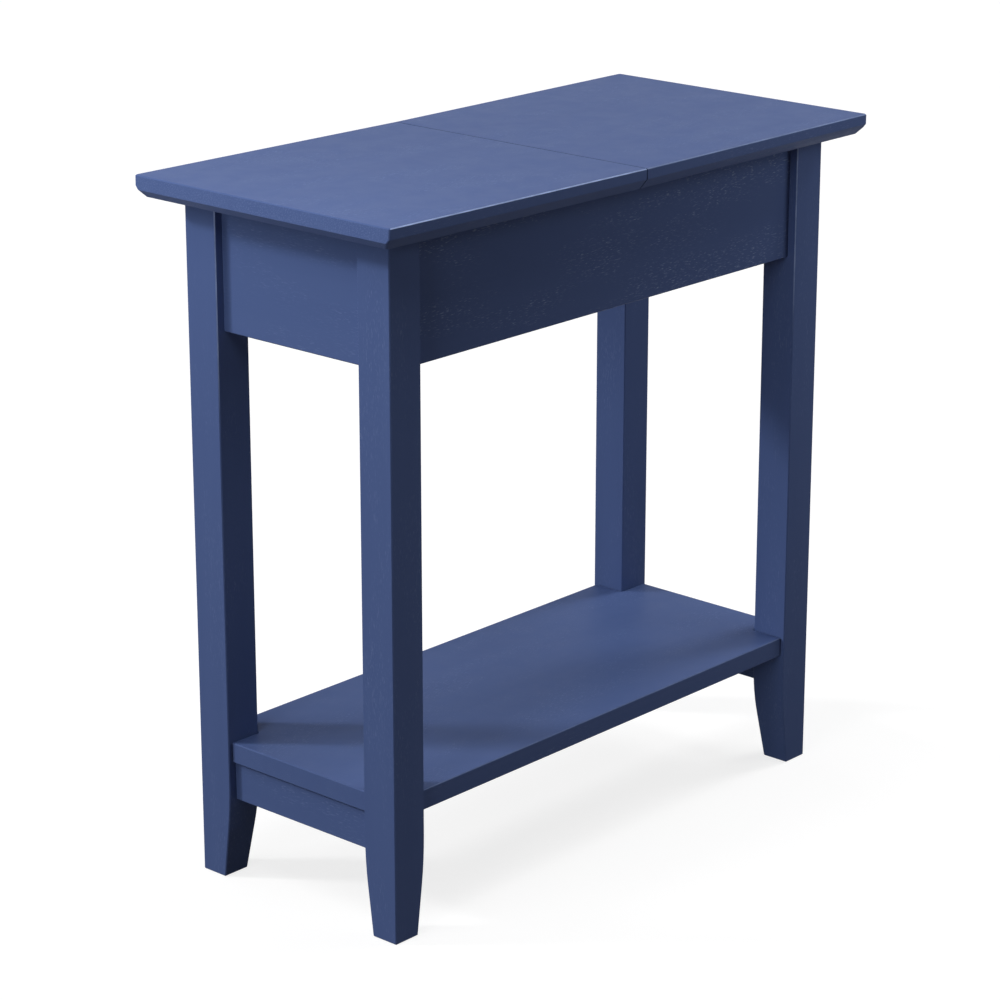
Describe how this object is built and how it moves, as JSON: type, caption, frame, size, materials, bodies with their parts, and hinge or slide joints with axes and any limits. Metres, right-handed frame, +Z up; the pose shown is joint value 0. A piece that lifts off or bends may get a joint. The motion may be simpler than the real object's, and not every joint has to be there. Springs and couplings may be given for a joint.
{
  "type": "lift top end table",
  "caption": "Narrow painted wood end table: one half of the top folds up and over the other to open a storage box; square legs drawn in at the feet, low notched shelf.",
  "frame": {"origin": "middle of the footprint, on the floor", "axes": "+X along the table away from the lifting half, +Y across it towards the rear, +Z up"},
  "size_m": [0.6097, 0.2858, 0.6125],
  "materials": {
    "blue_paint": "satin blue paint over fine open grain",
    "bare_wood": "unfinished",
    "hinge_brass": "turned brass",
    "hinge_steel": "stamped steel",
    "zinc_steel": "zinc plated",
    "clear_rubber": "soft translucent"
  },
  "bodies": {
    "table": {"fixed_top": "blue_paint", "storage_bottom": "blue_paint", "centre_divider": "blue_paint", "lower_shelf": "blue_paint", "hanger_bolts": "zinc_steel", "bolt_washers": "zinc_steel", "bolt_nuts": "zinc_steel", "lid_bumpers": "clear_rubber", "fixed_hinge_pins": "hinge_steel", "leg_front_left": "blue_paint", "brace_front_left": "bare_wood", "leg_front_right": "blue_paint", "brace_front_right": "bare_wood", "leg_rear_left": "blue_paint", "brace_rear_left": "bare_wood", "leg_rear_right": "blue_paint", "brace_rear_right": "bare_wood", "front_apron": "blue_paint", "front_top_cleat": "bare_wood", "front_hinge_fixed_barrel": "hinge_brass", "rear_apron": "blue_paint", "rear_top_cleat": "bare_wood", "rear_hinge_fixed_barrel": "hinge_brass", "left_apron": "blue_paint", "left_stretcher": "blue_paint", "right_apron": "blue_paint", "right_stretcher": "blue_paint"},
    "lid": {"lift_top": "blue_paint", "lid_hinge_pins": "hinge_steel", "front_hinge_lid_barrel": "hinge_brass", "rear_hinge_lid_barrel": "hinge_brass"},
    "outer_links": {"front_hinge_outer_links": "hinge_steel", "rear_hinge_outer_links": "hinge_steel"},
    "middle_links": {"front_hinge_middle_link": "hinge_steel", "rear_hinge_middle_link": "hinge_steel"}
  },
  "joints": [
    {"name": "lid_hinge", "type": "hinge", "parent": "table", "child": "lid", "pos_m": [0, 0, 0.60985], "axis": [0, 1, 0], "range_deg": [0, 179.4]},
    {"name": "outer_link_swing", "type": "hinge", "parent": "table", "child": "outer_links", "pos_m": [0.00492, 0, 0.60493], "axis": [0, 1, 0], "range_deg": [0, 89.8]},
    {"name": "middle_link_swing", "type": "hinge", "parent": "lid", "child": "middle_links", "pos_m": [-0.00496, 0, 0.60498], "axis": [0, 1, 0], "range_deg": [-89.8, 0]}
  ],
  "couplings": [
    {"joint": "outer_link_swing", "follows": "lid_hinge", "ratio": 0.5},
    {"joint": "middle_link_swing", "follows": "lid_hinge", "ratio": -0.5}
  ]
}
